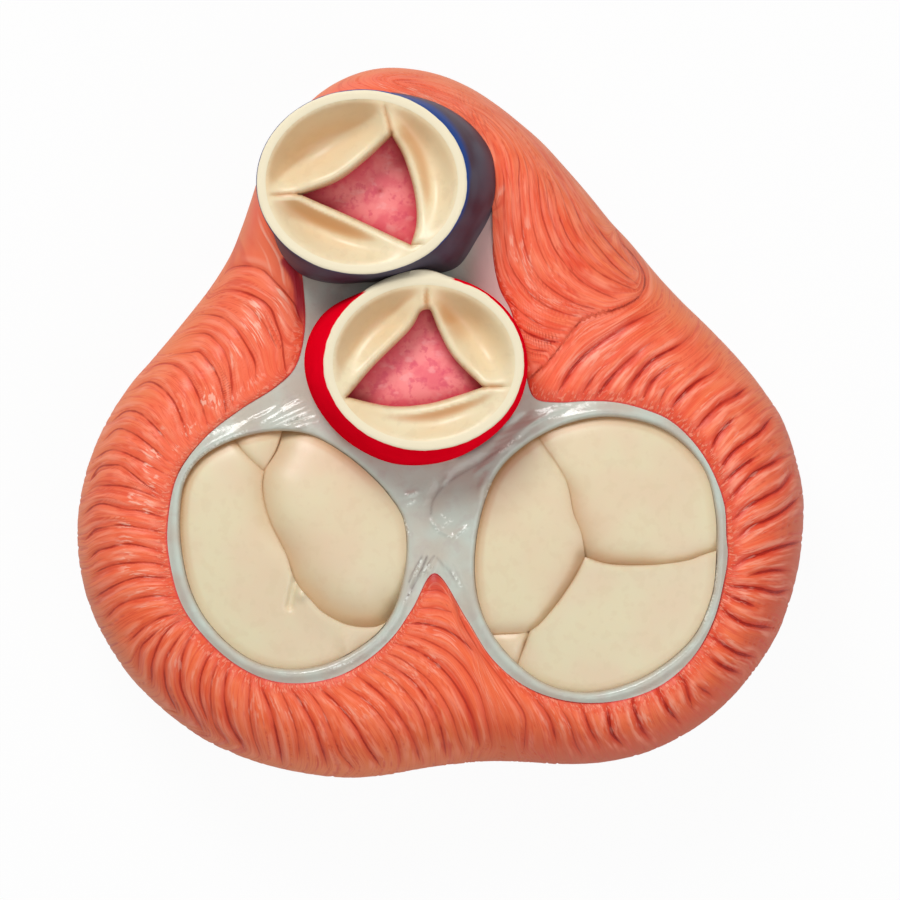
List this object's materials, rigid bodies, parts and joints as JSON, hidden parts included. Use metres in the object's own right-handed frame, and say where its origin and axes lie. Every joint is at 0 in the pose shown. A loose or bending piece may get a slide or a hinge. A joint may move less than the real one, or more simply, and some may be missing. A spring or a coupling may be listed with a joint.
{
  "type": "heart anatomy model",
  "caption": "Teaching model of the base of a heart, cut at the valve plane, with shut mitral and tricuspid valves and open aortic and pulmonary valves in their vessel roots.",
  "frame": {"origin": "centre of the bounding box on the flat underside, which rests on the table", "axes": "+Z out of the valve plane, up when the model lies on a table; +Y towards the pulmonary trunk, which is the front of the chest; +X towards the tricuspid valve, the wearer's right, so the picture's right"},
  "size_m": [0.1016, 0.0991, 0.04],
  "materials": {
    "muscle_paint": "hand-painted orange-salmon muscle with darker red washed into the fibre grooves, gloss varnish",
    "tissue_grey_paint": "pale grey paint over cream plastic, satin to gloss",
    "valve_cream": "bare cream plastic, moulded colour, soft gloss",
    "aorta_red_paint": "bright red gloss paint, brushed by hand up to the cream rim",
    "trunk_blue_paint": "dark slate-blue gloss paint, brushed by hand up to the cream rim",
    "lumen_pink_paint": "pink-red mottled paint on the vessel floor, gloss",
    "back_plate_buff": "unpainted buff plastic, matt"
  },
  "bodies": {
    "root": {"ventricular_wall": "muscle_paint", "back_plate": "back_plate_buff", "fibrous_skeleton": "tissue_grey_paint", "mitral_anterior_leaflet": "valve_cream", "mitral_posterior_leaflet": "valve_cream", "mitral_commissural_cusp": "valve_cream", "tricuspid_anterior_leaflet": "valve_cream", "tricuspid_septal_leaflet": "valve_cream", "tricuspid_posterior_leaflet": "valve_cream", "tricuspid_commissural_cusp": "valve_cream", "aortic_root": "aorta_red_paint", "aortic_floor": "lumen_pink_paint", "aortic_left_cusp": "valve_cream", "aortic_right_cusp": "valve_cream", "aortic_noncoronary_cusp": "valve_cream", "pulmonary_root": "trunk_blue_paint", "pulmonary_floor": "lumen_pink_paint", "pulmonary_anterior_cusp": "valve_cream", "pulmonary_left_cusp": "valve_cream", "pulmonary_right_cusp": "valve_cream"}
  },
  "joints": []
}
